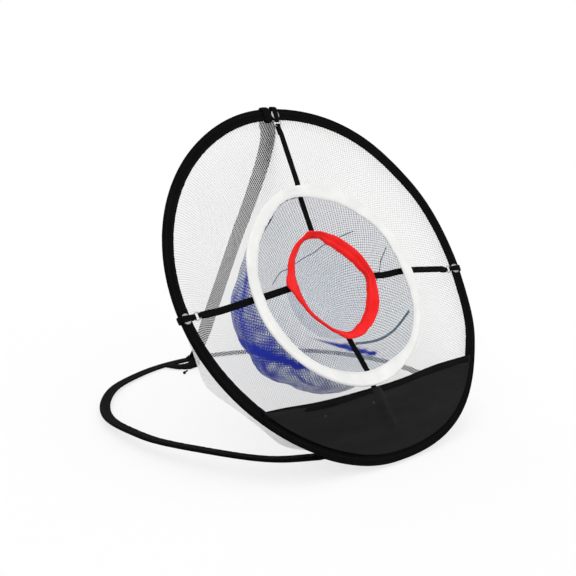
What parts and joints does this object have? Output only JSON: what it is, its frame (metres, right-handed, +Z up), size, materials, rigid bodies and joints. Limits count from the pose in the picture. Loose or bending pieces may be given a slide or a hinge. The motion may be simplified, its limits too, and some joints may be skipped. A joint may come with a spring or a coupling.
{
  "type": "golf chipping net",
  "caption": "Folding golf chipping net: leaning round target hoop with a red and a white ring pocket, a catching net, a black apron, a round base hoop and a stay strap",
  "frame": {"origin": "on the ground, under the middle of the whole object", "axes": "+X to the right seen from the front, +Y to the back, away from the player, +Z up"},
  "size_m": [0.504, 0.4973, 0.419],
  "materials": {
    "black_webbing": "woven polyester webbing",
    "black_fabric": "ripstop polyester",
    "spring_steel": "tempered spring wire",
    "ferrule_metal": "crimped tube",
    "white_fabric": "smooth polyester",
    "red_fabric": "smooth polyester",
    "white_net": "fine knitted mesh",
    "blue_net": "fine knitted mesh",
    "black_net": "knitted webbing with staggered holes",
    "nickel": "nickel plated"
  },
  "bodies": {
    "base": {"base_hoop_sleeve": "black_fabric", "base_hoop_wire": "spring_steel", "base_wire_ferrule": "ferrule_metal", "stay_base_loop": "black_webbing", "stay_cord_end": "black_webbing"},
    "target": {"apron": "black_fabric", "apron_hem": "black_fabric", "base_hoop_sleeve_front": "black_fabric", "base_hoop_wire_front": "spring_steel", "catch_net": "white_net", "catch_net_tape": "white_fabric", "cross_strap_bottom": "black_webbing", "cross_strap_left": "black_webbing", "cross_strap_right": "black_webbing", "cross_strap_top": "black_webbing", "eyelet_left": "nickel", "eyelet_right": "nickel", "eyelet_top": "nickel", "front_seam_tape": "black_webbing", "link_ring_left": "nickel", "link_ring_right": "nickel", "link_ring_top": "nickel", "main_hoop_sleeve": "black_fabric", "main_hoop_wire": "spring_steel", "main_wire_ferrule": "ferrule_metal", "stay_strap": "black_net", "stay_top_loop": "black_webbing", "tie_loop_left": "black_webbing", "tie_loop_right": "black_webbing", "tie_loop_top": "black_webbing"},
    "rings": {"white_ring_band": "white_fabric", "white_ring_wire": "spring_steel", "white_ring_ferrule": "ferrule_metal", "red_ring_band": "red_fabric", "red_ring_wire": "spring_steel", "red_ring_ferrule": "ferrule_metal", "blue_bag": "blue_net", "blue_bag_tape": "blue_net", "inner_bag": "blue_net", "inner_bag_tape": "blue_net"}
  },
  "joints": [
    {"name": "fold", "type": "hinge", "parent": "base", "child": "target", "pos_m": [0, -0.22545, 0.02552], "axis": [-1, 0, 0], "range_deg": [0, 57.5], "stiffness_Nm_per_rad": 1.2, "springref_deg": -68.75, "deforming": ["stay_strap", "catch_net"]},
    {"name": "target_give", "type": "slide", "parent": "target", "child": "rings", "axis": [0, 0.8261, -0.5635], "range_m": [0, 0.02], "stiffness_N_per_m": 120, "springref_m": -0.012, "deforming": ["cross_strap_left", "cross_strap_right", "cross_strap_top", "cross_strap_bottom"]}
  ]
}
